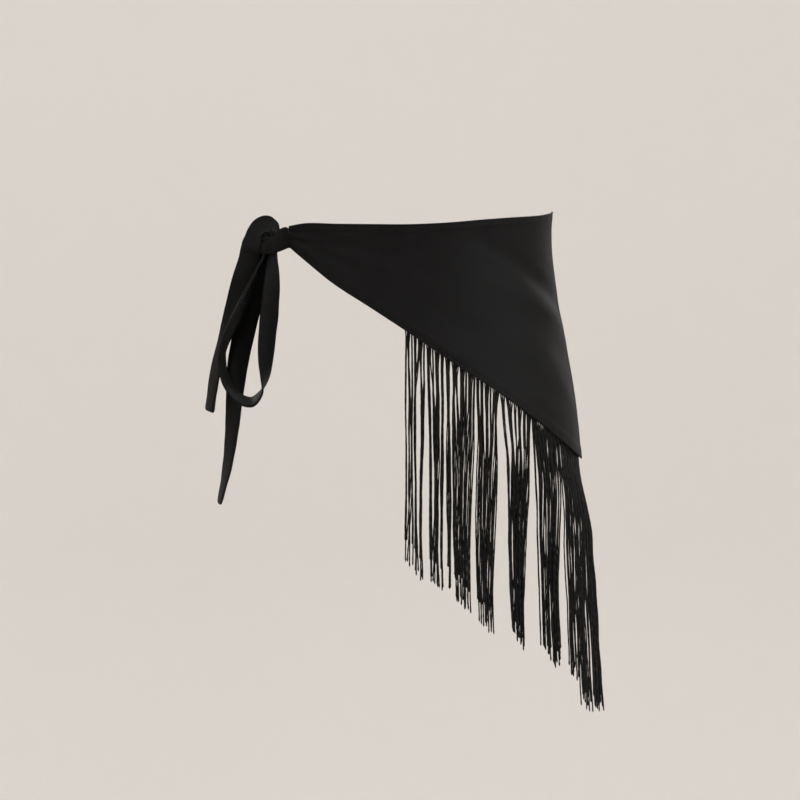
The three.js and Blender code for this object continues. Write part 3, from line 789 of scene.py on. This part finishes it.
def strand(mesh, side, root, bundle, clump, share, layer, sizes, chance):
    """One twisted thread, from the heading down to its melted tip."""
    behind = -sizes.cloth - sizes.heading_gap - sizes.heading_thickness / 2
    jitter, stray = HANGING["jitter"], HANGING["stray"]
    tip = clump["tip"] + clump["spread"] * (0.5 - share) + chance.uniform(-jitter, jitter)
    tip, root, bundle = (spread_turn(side, turn) for turn in (tip, root, bundle))
    out_at_tip = sizes.first_layer + sizes.layer_step * layer
    root_z = hem_at(root) + sizes.above_hem + sizes.heading_height / 3
    drop = clump["drop"] + sizes.uneven * (chance.random() - 0.5) + sizes.heading_height / 3
    # the last pair isn't used, and is drawn so that the draws after it stay the same
    sway = [(chance.uniform(0.2, 1.0), any_phase(chance)) for _ in range(6)]
    astray = chance.uniform(-stray, stray) if chance.random() < HANGING["stray_chance"] else 0.0
    phase = any_phase(chance)
    pitch = sizes.pitch * chance.uniform(0.85, 1.2)
    gather_start = HANGING["gather_start"]
    rings = []
    for station in range(sizes.stations + 1):
        along = station / sizes.stations
        length = along * drop
        left = 1 - max(along - gather_start, 0) / (1 - gather_start)
        gathered = 1 - left ** HANGING["gather_power"]
        closed = smooth((along - HANGING["bundle_start"]) / HANGING["bundle_length"])
        drawn = root + (bundle - root) * sizes.bundled * closed
        forward = smooth((along - HANGING["forward_start"]) / HANGING["forward_length"])
        loose = smooth(along / HANGING["loose_length"])
        sideways = swaying(SIDE_SWAYS, sway[:3], length)
        depthwise = swaying(DEPTH_SWAYS, sway[3:], length)
        turn = drawn + (tip - drawn) * gathered + sideways * loose
        turn += astray * math.sin(math.pi * along) * loose
        out = behind + (out_at_tip + depthwise * loose - behind) * forward
        centre = on_figure(side, turn, root_z - length, out)
        at_tip = max(0.0, 1 - (drop - length) / MELTED_TIP["length"])
        bulge = math.sin(math.pi * min(at_tip * MELTED_TIP["swell_end"], 1))
        swell = 1 + MELTED_TIP["swell"] * bulge - MELTED_TIP["taper"] * at_tip**3
        ring = []
        for i in range(sizes.sides):
            angle = 2 * math.pi * i / sizes.sides
            lobe = 1 + sizes.lobe * math.cos(2 * (angle - phase - 2 * math.pi * length / pitch))
            radius = sizes.radius * lobe * swell
            point = centre + Vector((radius * math.cos(angle), radius * math.sin(angle), 0))
            ring.append((point, length, i / sizes.sides))
        rings.append(ring)
    mesh.skin(rings, round_again=1.0)


def heading(mesh, side, folds, sizes):
    """The woven strip that holds the strands, with a small rib over each of them."""
    outer_face = -sizes.cloth - sizes.heading_gap
    start, end = sizes.start + HEADING["margin"], sizes.end - HEADING["margin"] / 2
    rings = []
    for i in range(HEADING["columns"] + 1):
        turn = end + (start - end) * i / HEADING["columns"]
        along = turn * PER_TURN_ON_HEM
        bottom = hem_at(turn) + sizes.above_hem
        outer = relief(folds, turn, bottom, 1) + outer_face
        rib = HEADING["rib"] * math.sin(2 * math.pi * (turn - end) * PER_TURN_ON_HEM / sizes.spacing)
        inner = outer - sizes.heading_thickness + rib
        heights = [bottom + sizes.heading_height * level for level in HEADING_LEVELS]
        bulges = [HEADING["bulge"] * math.sin(9 * level + 1) for level in HEADING_LEVELS]
        outside = [
            (on_figure(side, turn, z, outer + bulge - HEADING["inset"]), along, z)
            for z, bulge in zip(heights, bulges)
        ]
        inside = [
            (on_figure(side, turn, z, inner - bulge), along, z) for z, bulge in zip(heights, bulges)
        ]
        rings.append(outside + inside[::-1])
    mesh.skin(rings)


def fringe(side, folds, sizes):
    """A heading with all its strands, clump by clump and bundle by bundle."""
    mesh = Mesh()
    chance = random.Random(FRINGE_SEED)
    heading(mesh, side, folds, sizes)
    roots = root_turns(FRONT, sizes)
    for clump in CLUMPS:
        held = [turn for turn in roots if clump["from"] >= turn > clump["to"]]
        share_of = {turn: (i + 0.5) / len(held) for i, turn in enumerate(held)}
        for bundle in bundles(held, chance):
            middle = sum(bundle) / len(bundle)
            middle_share = sum(share_of[turn] for turn in bundle) / len(bundle)
            for turn in bundle:
                share = middle_share + BUNDLE_SPREAD * (share_of[turn] - middle_share)
                layer = roots.index(turn) % LAYERS
                strand(mesh, side, turn, middle, clump, share, layer, sizes, chance)
    return mesh


def heading_stitches(side, folds, sizes):
    """Two rows of small stitches on the inside, which hold the heading."""
    mesh = Mesh()
    face = -sizes.cloth - sizes.heading_gap - sizes.heading_thickness
    for level in STITCH_ROWS:
        turn = sizes.end + 0.3
        while turn < sizes.start - 1:
            rings = []
            for share in STITCH_STATIONS:
                at = turn + STITCH["step"] * STITCH["length"] * share
                bottom = hem_at(at) + sizes.above_hem
                z = bottom + sizes.heading_height * level
                lift = -STITCH["dip"] * math.sin(math.pi * share) + STITCH["rise"]
                centre = on_figure(side, at, z, relief(folds, at, bottom, 1) + face + lift)
                out = outwards(side, at, z)
                ring = []
                for i in range(6):
                    angle = math.pi / 3 * i
                    offset = out * math.cos(angle) + Vector((0, 0, math.sin(angle)))
                    ring.append((centre + offset * STITCH["thread"], share * PER_TURN, i / 6))
                rings.append(ring)
            mesh.skin(rings, round_again=1.0)
            turn += STITCH["step"]
    return mesh


# The ties


def curve_through(points):
    """Two functions of a row number: the place on a smooth curve, and the direction there."""
    ends = [2 * points[0] - points[1], *points, 2 * points[-1] - points[-2]]

    def span(at):
        row = min(int(at), len(points) - 2)
        p = ends[row : row + 4]
        gaps = [math.sqrt((p[i + 1] - p[i]).length) for i in range(3)]
        slopes = [
            ((p[i + 1] - p[i]) / gaps[i] - (p[i + 2] - p[i]) / (gaps[i] + gaps[i + 1])
             + (p[i + 2] - p[i + 1]) / gaps[i + 1]) * gaps[1]
            for i in range(2)
        ]
        return p[1], p[2], slopes, at - row

    def place(at):
        start, end, slopes, t = span(at)
        return (
            start * ((1 + 2 * t) * (1 - t) ** 2)
            + end * (t * t * (3 - 2 * t))
            + slopes[0] * (t * (1 - t) ** 2)
            + slopes[1] * (t * t * (t - 1))
        )

    def direction(at):
        start, end, slopes, t = span(at)
        return (
            (end - start) * (6 * t * (1 - t))
            + slopes[0] * (1 - 4 * t + 3 * t * t)
            + slopes[1] * (3 * t * t - 2 * t)
        ).normalized()

    return place, direction


def tie_section(points):
    """Points round a flat tie as shares of its width and thickness, closer at its two edges."""
    made = []
    for i in range(points):
        angle = 2 * math.pi * (i + 0.5) / points
        cosine, sine = math.cos(angle), math.sin(angle)
        across = math.copysign(abs(cosine) ** TIE_EDGE_POWER, cosine) / 2
        up = math.copysign(abs(sine) ** TIE_FACE_POWER, sine) / 2
        made.append((across, up))
    return made


def tie_relief(a, outside, length, drawn, seed):
    """The share of a tie's thickness at a place across it, and how far the place is raised."""
    sizes = TIE_RELIEF
    drift = sizes["fold_drift"] * math.sin(length * sizes["drift_per_metre"] + seed)
    fold = 0.5 + 0.5 * math.cos(2 * math.pi * (sizes["folds"] * a + drift))
    fine_at = sizes["fine_folds"] * a + length * sizes["fine_per_metre"] + seed * sizes["fine_seed"]
    fine = 0.5 + 0.5 * math.cos(2 * math.pi * fine_at)
    share = 1 - drawn * (sizes["fold_depth"] * fold**2 + sizes["fine_depth"] * fine**2)
    share += sizes["edge_rise"] * hump(abs(a) - sizes["edge_at"], sizes["edge_reach"])
    share -= sizes["seam_depth"] * hump(a - sizes["seam_at"], sizes["seam_reach"]) if outside else 0
    wave = noise.noise(Vector((length * sizes["wave_per_metre"], a * sizes["wave_across"], seed)))
    flutter = noise.noise(Vector((length * sizes["flutter_per_metre"], seed * 2.0, 1.0))) * 2 * a
    return share, (sizes["wave"] * wave, sizes["flutter"] * flutter * (1 - drawn))


def tie(rows_of_tie, sizes, seed, open_ends):
    """A flat tube of cloth: folded edges, folds where it is drawn together, soft waves."""
    mesh = Mesh()
    place, direction = curve_through([Vector((r["x"], r["y"], r["z"])) for r in rows_of_tie])
    marks = [{**row, "place": i} for i, row in enumerate(rows_of_tie)]
    last = len(rows_of_tie) - 1
    section = tie_section(sizes.section)
    stations = [last * i / sizes.stations for i in range(sizes.stations + 1)]
    lengths = [0.0]
    for a, b in zip(stations, stations[1:]):
        lengths.append(lengths[-1] + (place(b) - place(a)).length)
    rings = []
    for at, length in zip(stations, lengths):
        wide, thick, swing, rise, cup = (
            read(marks, "place", column, at) for column in ("wide", "thick", "swing", "rise", "cup")
        )
        centre, forward = place(at), direction(at)
        swing, rise = math.radians(swing), math.radians(rise)
        across = Vector(
            (math.sin(swing) * math.cos(rise), -math.cos(swing) * math.cos(rise), math.sin(rise))
        )
        across = (across - forward * across.dot(forward)).normalized()
        up = across.cross(forward)
        drawn = (TIE_RELIEF["drawn_from"] - wide) / TIE_RELIEF["drawn_over"]
        drawn = min(max(drawn, 0), 1)
        width, thickness = wide * sizes.width, thick * sizes.thickness
        for cut, distance in zip(open_ends, (length, lengths[-1] - length)):
            inset = max(0.0, sizes.corner - distance)
            if cut:
                rounding = sizes.corner - math.sqrt(sizes.corner**2 - inset**2)
                width -= 2 * rounding * TIE_END["narrower"]
                thickness *= 1 - TIE_END["thinner"] * (inset / sizes.corner) ** 2
        ring = []
        for a, h in section:
            share, (wave, flutter) = tie_relief(a, h > 0, length, drawn, seed)
            lift = cup * (1 - (2 * a) ** 2) + wave + flutter
            point = centre + across * (a * width) + up * (h * thickness * share + lift)
            ring.append((point, length, a * sizes.width))
        rings.append(ring)
    mesh.skin(rings)
    return mesh


def back_tie_rows(sizes):
    """The back tie's rows: round the waist from the panel's end, then into the knot."""
    on_waist = []
    for row in BACK_TIE_ON_WAIST:
        x, y, _ = on_figure(BACK, row["turn"], row["z"], -sizes.thickness / 2)
        on_waist.append(
            {"x": x, "y": y, "z": row["z"], "wide": row["wide"],
             "thick": 1, "swing": 0, "rise": 90, "cup": 0}
        )
    return on_waist + BACK_TIE_END


# Operators and their settings


def length(name, description, default):
    """A setting in metres."""
    return FloatProperty(
        name=name, description=description, default=default, unit="LENGTH", precision=5
    )


class BeltCloth(bpy.types.PropertyGroup):
    """The wrap's cloth"""

    cloth: length("Thickness", "Both layers of the wrap together", 0.0016)
    allowance: length("Seam allowance", "Width of the cloth turned in at the hem", 0.0080)
    allowance_rise: length(
        "Allowance rise", "How far the turned-in cloth lifts the outer layer", 0.00028
    )
    roll: length("Edge roll", "How far the edge rounds over between the layers", 0.0007)
    nub: length("Seam corner", "How far the cloth stands up at the top of the side seam", 0.0012)
    columns: IntProperty(name="Columns", description="Steps round the panel", default=230, min=40)
    rows: IntProperty(name="Rows", description="Steps from the top edge to the hem", default=92, min=20)
    colour: FloatVectorProperty(
        name="Colour", description="Colour of the wrap's cloth", subtype="COLOR",
        default=(0.0039, 0.0037, 0.0037),
    )
    sheen: FloatProperty(
        name="Sheen", description="How much the cloth lightens where it turns away",
        default=0.008, subtype="FACTOR", min=0, max=1,
    )


class BeltTies(bpy.types.PropertyGroup):
    """The ties"""

    width: length("Width", "Width of a tie where it lies flat", 0.020)
    thickness: length("Thickness", "Thickness of the flat tube", 0.0020)
    corner: length("End corner", "Rounding of the corners at a tie's end", 0.0016)
    stations: IntProperty(name="Steps", description="Steps along a tie", default=220, min=40)
    section: IntProperty(name="Section points", description="Points round a tie", default=36, min=12)
    colour: FloatVectorProperty(
        name="Colour", description="Colour of the ties' cloth", subtype="COLOR",
        default=(0.0038, 0.0036, 0.0035),
    )


class BeltFringe(bpy.types.PropertyGroup):
    """The fringe and its heading"""

    cloth: length("Wrap thickness", "Thickness of the wrap that the heading lies behind", 0.0016)
    heading_height: length("Heading height", "Height of the woven heading", 0.006)
    heading_thickness: length("Heading thickness", "Thickness of the woven heading", 0.0016)
    heading_gap: length("Heading gap", "Gap between the heading and the wrap", 0.0004)
    above_hem: length("Above the hem", "How far the heading lies above the hem", 0.001)
    start: FloatProperty(
        name="First strand", description="Turn of the first strand, in degrees", default=91.5
    )
    end: FloatProperty(
        name="Last strand", description="Turn of the last strand, in degrees", default=0.6
    )
    spacing: length("Spacing", "Distance between two roots", 0.0021)
    radius: FloatProperty(
        name="Strand radius", description="Half a strand's thickness", default=0.00056,
        unit="LENGTH", precision=5,
    )
    lobe: FloatProperty(
        name="Two plies", description="How far a strand's section is from round",
        default=0.06, subtype="FACTOR", min=0, max=0.5,
    )
    pitch: length("Twist", "Length of one turn of the plies", 0.015)
    first_layer: length("First layer", "How far out the strands nearest the figure hang", 0.0008)
    layer_step: length("Layer step", "Distance from one layer of strands to the next", 0.0019)
    bundled: FloatProperty(
        name="Bundled", description="How far the strands of a bundle close up below the hem",
        default=0.45, subtype="FACTOR", min=0, max=1,
    )
    uneven: length("Uneven ends", "How much the strands differ in length", 0.010)
    sides: IntProperty(name="Sides", description="Sides of a strand", default=6, min=3)
    stations: IntProperty(name="Steps", description="Steps along a strand", default=108, min=20)
    colour: FloatVectorProperty(
        name="Colour", description="Colour of the yarn", subtype="COLOR",
        default=(0.0038, 0.0036, 0.0035),
    )


class BeltStage(bpy.types.PropertyGroup):
    """The studio"""

    wall: FloatVectorProperty(
        name="Wall", description="Colour of the floor and the wall", subtype="COLOR",
        default=(0.70, 0.675, 0.65),
    )
    radius: length("Radius", "Distance from the belt to the wall", 7.0)
    key: FloatProperty(
        name="Key light", description="Strength of the large soft light", default=150.0,
        subtype="POWER",
    )
    fill: FloatProperty(
        name="Fill light", description="Strength of the light on the other side", default=60.0,
        subtype="POWER",
    )
    rim: FloatProperty(
        name="Rim lights", description="Strength of each of the two lights behind the belt",
        default=34.0, subtype="POWER",
    )
    ambient: FloatProperty(
        name="Ambient", description="Strength of the light from all round", default=1.3, min=0
    )


class BeltOperator:
    bl_options = {"REGISTER", "UNDO"}


class BELT_OT_wrap(BeltOperator, bpy.types.Operator):
    """Models the front and the back of the wrap"""

    bl_idname = "belt.wrap"
    bl_label = "Wrap"

    def execute(self, context):
        sizes = context.scene.belt_cloth
        finish = cloth_finish("black_twill", sizes.colour, sizes.sheen)
        panel(FRONT, FRONT_FOLDS, FRONT_CREASES, sizes).piece(
            "front_wrap_cloth", finish, "front_panel", "belt_cloth"
        )
        panel(BACK, BACK_FOLDS, BACK_CREASES, sizes).piece(
            "back_wrap_cloth", finish, "back_panel", "belt_cloth"
        )
        return {"FINISHED"}


class BELT_OT_ties(BeltOperator, bpy.types.Operator):
    """Models the free stretches of the two ties"""

    bl_idname = "belt.ties"
    bl_label = "Ties"

    def execute(self, context):
        sizes = context.scene.belt_ties
        finish = cloth_finish("black_tie_twill", sizes.colour, context.scene.belt_cloth.sheen)
        for name, node, tie_rows, seed, ends in (
            ("short_tail_cloth", "short_tail", SHORT_TAIL, 1.3, (False, True)),
            ("long_tail_cloth", "long_tail", LONG_TAIL, 4.1, (False, True)),
            ("bow_loop_cloth", "bow_loop", LOOP, 7.9, (False, False)),
            ("front_tie_cloth", "front_tie", FRONT_TIE, 11.2, (False, False)),
            ("back_tie_cloth", "back_tie", back_tie_rows(sizes), 15.6, (False, False)),
        ):
            tie(tie_rows, sizes, seed, ends).piece(name, finish, node, "tie_cloth")
        return {"FINISHED"}


class BELT_OT_knot(BeltOperator, bpy.types.Operator):
    """Models the folded lump where the ties cross"""

    bl_idname = "belt.knot"
    bl_label = "Knot"

    def execute(self, context):
        bpy.ops.object.select_all(action="DESELECT")
        bpy.ops.mesh.primitive_uv_sphere_add(
            segments=KNOT["segments"], ring_count=KNOT["rings"], radius=1, rotation=(0, math.pi / 2, 0)
        )
        lump = context.object
        bpy.ops.object.transform_apply(location=True, rotation=True, scale=True)
        lump.name = lump.data.name = "knot_folds"
        beds = [
            BVHTree.FromObject(bpy.data.objects[name], context.evaluated_depsgraph_get())
            for name in ("short_tail_cloth", "long_tail_cloth", "bow_loop_cloth",
                         "front_tie_cloth", "back_tie_cloth")
        ]
        for vertex in lump.data.vertices:
            direction = vertex.co.normalized()
            polar = math.acos(min(max(direction.x, -1), 1))
            round_it = math.atan2(direction.z, direction.y) % (2 * math.pi)
            swell = 1 + KNOT["rib_height"] * math.sin(KNOT["ribs"] * round_it + KNOT["twist"] * polar)
            for fold in KNOT_FOLDS:
                middle = fold["start"] + (fold["end"] - fold["start"]) * polar / math.pi
                away = (round_it - middle + math.pi) % (2 * math.pi) - math.pi
                swell -= fold["depth"] * hump(away, fold["reach"]) * math.sin(polar) ** 0.5
            swell += KNOT["uneven"] * noise.noise(direction * 5)
            offset = Vector([h * d * swell for h, d in zip(KNOT["half"], direction)])
            vertex.co = KNOT["middle"] + pressed(offset, beds)
        layer = lump.data.uv_layers.active
        layer.name = "cloth"
        for corner in layer.data:
            corner.uv = [share * size for share, size in zip(corner.uv, KNOT["cloth"])]
        sizes = context.scene.belt_ties
        finish = cloth_finish("black_knot_twill", sizes.colour, context.scene.belt_cloth.sheen)
        finish_piece(lump, finish, "knot")
        return {"FINISHED"}


def pressed(offset, beds):
    """The offset from the knot's middle, shortened until it lies under the ties."""
    for _ in range(PRESS["tries"]):
        point = KNOT["middle"] + offset
        for bed in beds:
            place, normal, _, _ = bed.find_nearest(point)
            away = point - place
            if away.dot(normal) < PRESS["gap"] and away.length < PRESS["reach"]:
                offset = offset * PRESS["share"]
                break
        else:
            break
    return offset


class BELT_OT_fringe(BeltOperator, bpy.types.Operator):
    """Models the two headings with their strands and stitches"""

    bl_idname = "belt.fringe"
    bl_label = "Fringe"

    def execute(self, context):
        sizes = context.scene.belt_fringe
        yarn = yarn_finish("black_yarn", sizes.colour)
        for side, word, folds in ((FRONT, "front", FRONT_FOLDS), (BACK, "back", BACK_FOLDS)):
            fringe(side, folds, sizes).piece(
                f"{word}_fringe_yarn", yarn, f"{word}_fringe", "fringe_yarn"
            )
            heading_stitches(side, folds, sizes).piece(
                f"{word}_heading_stitches", yarn, None, "fringe_yarn"
            )
        return {"FINISHED"}


class BELT_OT_declare(BeltOperator, bpy.types.Operator):
    """Does nothing to the scene"""

    bl_idname = "belt.declare"
    bl_label = "Flat sizes"

    def execute(self, context):
        return {"FINISHED"}


class BELT_OT_stage(BeltOperator, bpy.types.Operator):
    """Builds the pale studio, its lights and the camera"""

    bl_idname = "belt.stage"
    bl_label = "Stage"

    def execute(self, context):
        sizes = context.scene.belt_stage
        bpy.ops.object.select_all(action="DESELECT")
        bpy.ops.mesh.primitive_circle_add(
            vertices=ROOM["sides"], radius=sizes.radius, fill_type="NGON",
            location=(0, 0, ROOM["floor"]),
        )
        room = context.object
        bpy.ops.object.mode_set(mode="EDIT")
        bpy.ops.mesh.select_all(action="SELECT")
        bpy.ops.mesh.inset(thickness=ROOM["slope"])
        bpy.ops.object.mode_set(mode="OBJECT")
        for vertex in room.data.vertices:
            if vertex.co.xy.length > sizes.radius - 0.1:
                vertex.co.z += ROOM["slope"]
        bpy.ops.object.mode_set(mode="EDIT")
        bpy.ops.mesh.select_mode(type="EDGE")
        bpy.ops.mesh.select_all(action="DESELECT")
        bpy.ops.mesh.select_non_manifold()
        bpy.ops.mesh.extrude_region_move(TRANSFORM_OT_translate={"value": (0, 0, ROOM["wall"])})
        bpy.ops.mesh.select_all(action="SELECT")
        bpy.ops.mesh.normals_make_consistent(inside=True)
        bpy.ops.object.mode_set(mode="OBJECT")
        bpy.ops.object.transform_apply(location=True, rotation=True, scale=True)
        bevel = room.modifiers.new("corner", "BEVEL")
        bevel.width, bevel.segments = ROOM["corner"], ROOM["corner_steps"]
        only(room)
        bpy.ops.object.modifier_apply(modifier=bevel.name)
        bpy.ops.object.shade_smooth()
        room.name = "studio_floor_and_wall"
        room.data.materials.append(wall_finish("studio_paint", sizes.wall))
        self.lights(sizes)
        self.camera(context)
        context.scene.view_settings.view_transform = "Standard"
        return {"FINISHED"}

    def lights(self, sizes):
        for row in LIGHTS:
            bpy.ops.object.light_add(type="AREA", location=row["place"])
            light = bpy.context.object
            light.name = f"{row['name']}_light"
            light.data.shape = "DISK"
            light.data.size, light.data.energy = row["size"], getattr(sizes, row["setting"])
            towards = LIT_PLACE - Vector(row["place"])
            light.rotation_euler = towards.to_track_quat("-Z", "Y").to_euler()
        world = bpy.context.scene.world or bpy.data.worlds.new("studio_air")
        bpy.context.scene.world = world
        world.use_nodes = True
        background = world.node_tree.nodes["Background"]
        background.inputs["Color"].default_value = AIR_COLOUR
        background.inputs["Strength"].default_value = sizes.ambient

    def camera(self, context):
        bpy.ops.object.camera_add(location=CAMERA["eye"])
        camera = context.object
        towards = CAMERA["aim"] - CAMERA["eye"]
        camera.rotation_euler = towards.to_track_quat("-Z", "Y").to_euler()
        camera.data.lens, camera.data.sensor_width = CAMERA["lens"], CAMERA["sensor"]
        camera.data.clip_start, camera.data.clip_end = CAMERA["nearest"], CAMERA["farthest"]
        context.scene.camera = camera


STEPS = (
    BELT_OT_wrap, BELT_OT_ties, BELT_OT_knot, BELT_OT_fringe, BELT_OT_declare, BELT_OT_stage,
)
SETTINGS = {
    "belt_cloth": BeltCloth, "belt_ties": BeltTies, "belt_fringe": BeltFringe, "belt_stage": BeltStage,
}


class BELT_PT_panel(bpy.types.Panel):
    """Lists the belt's steps and sizes"""

    bl_label = "Fringe belt"
    bl_idname = "BELT_PT_panel"
    bl_space_type = "VIEW_3D"
    bl_region_type = "UI"
    bl_category = "Belt"

    def draw(self, context):
        for step in STEPS:
            self.layout.operator(step.bl_idname)
        for name, group in SETTINGS.items():
            box = self.layout.box()
            box.label(text=group.__doc__)
            for field in group.__annotations__:
                box.prop(getattr(context.scene, name), field)


def register():
    for group in SETTINGS.values():
        bpy.utils.register_class(group)
    for step in (*STEPS, BELT_PT_panel):
        bpy.utils.register_class(step)
    for name, group in SETTINGS.items():
        setattr(bpy.types.Scene, name, PointerProperty(type=group))


def unregister():
    for name in SETTINGS:
        delattr(bpy.types.Scene, name)
    for made in (BELT_PT_panel, *STEPS, *SETTINGS.values()):
        bpy.utils.unregister_class(made)


def main():
    register()
    bpy.ops.belt.stage()
    bpy.ops.belt.wrap()
    bpy.ops.belt.ties()
    bpy.ops.belt.knot()
    bpy.ops.belt.fringe()
    bpy.ops.belt.declare()


if __name__ == "__main__":
    main()
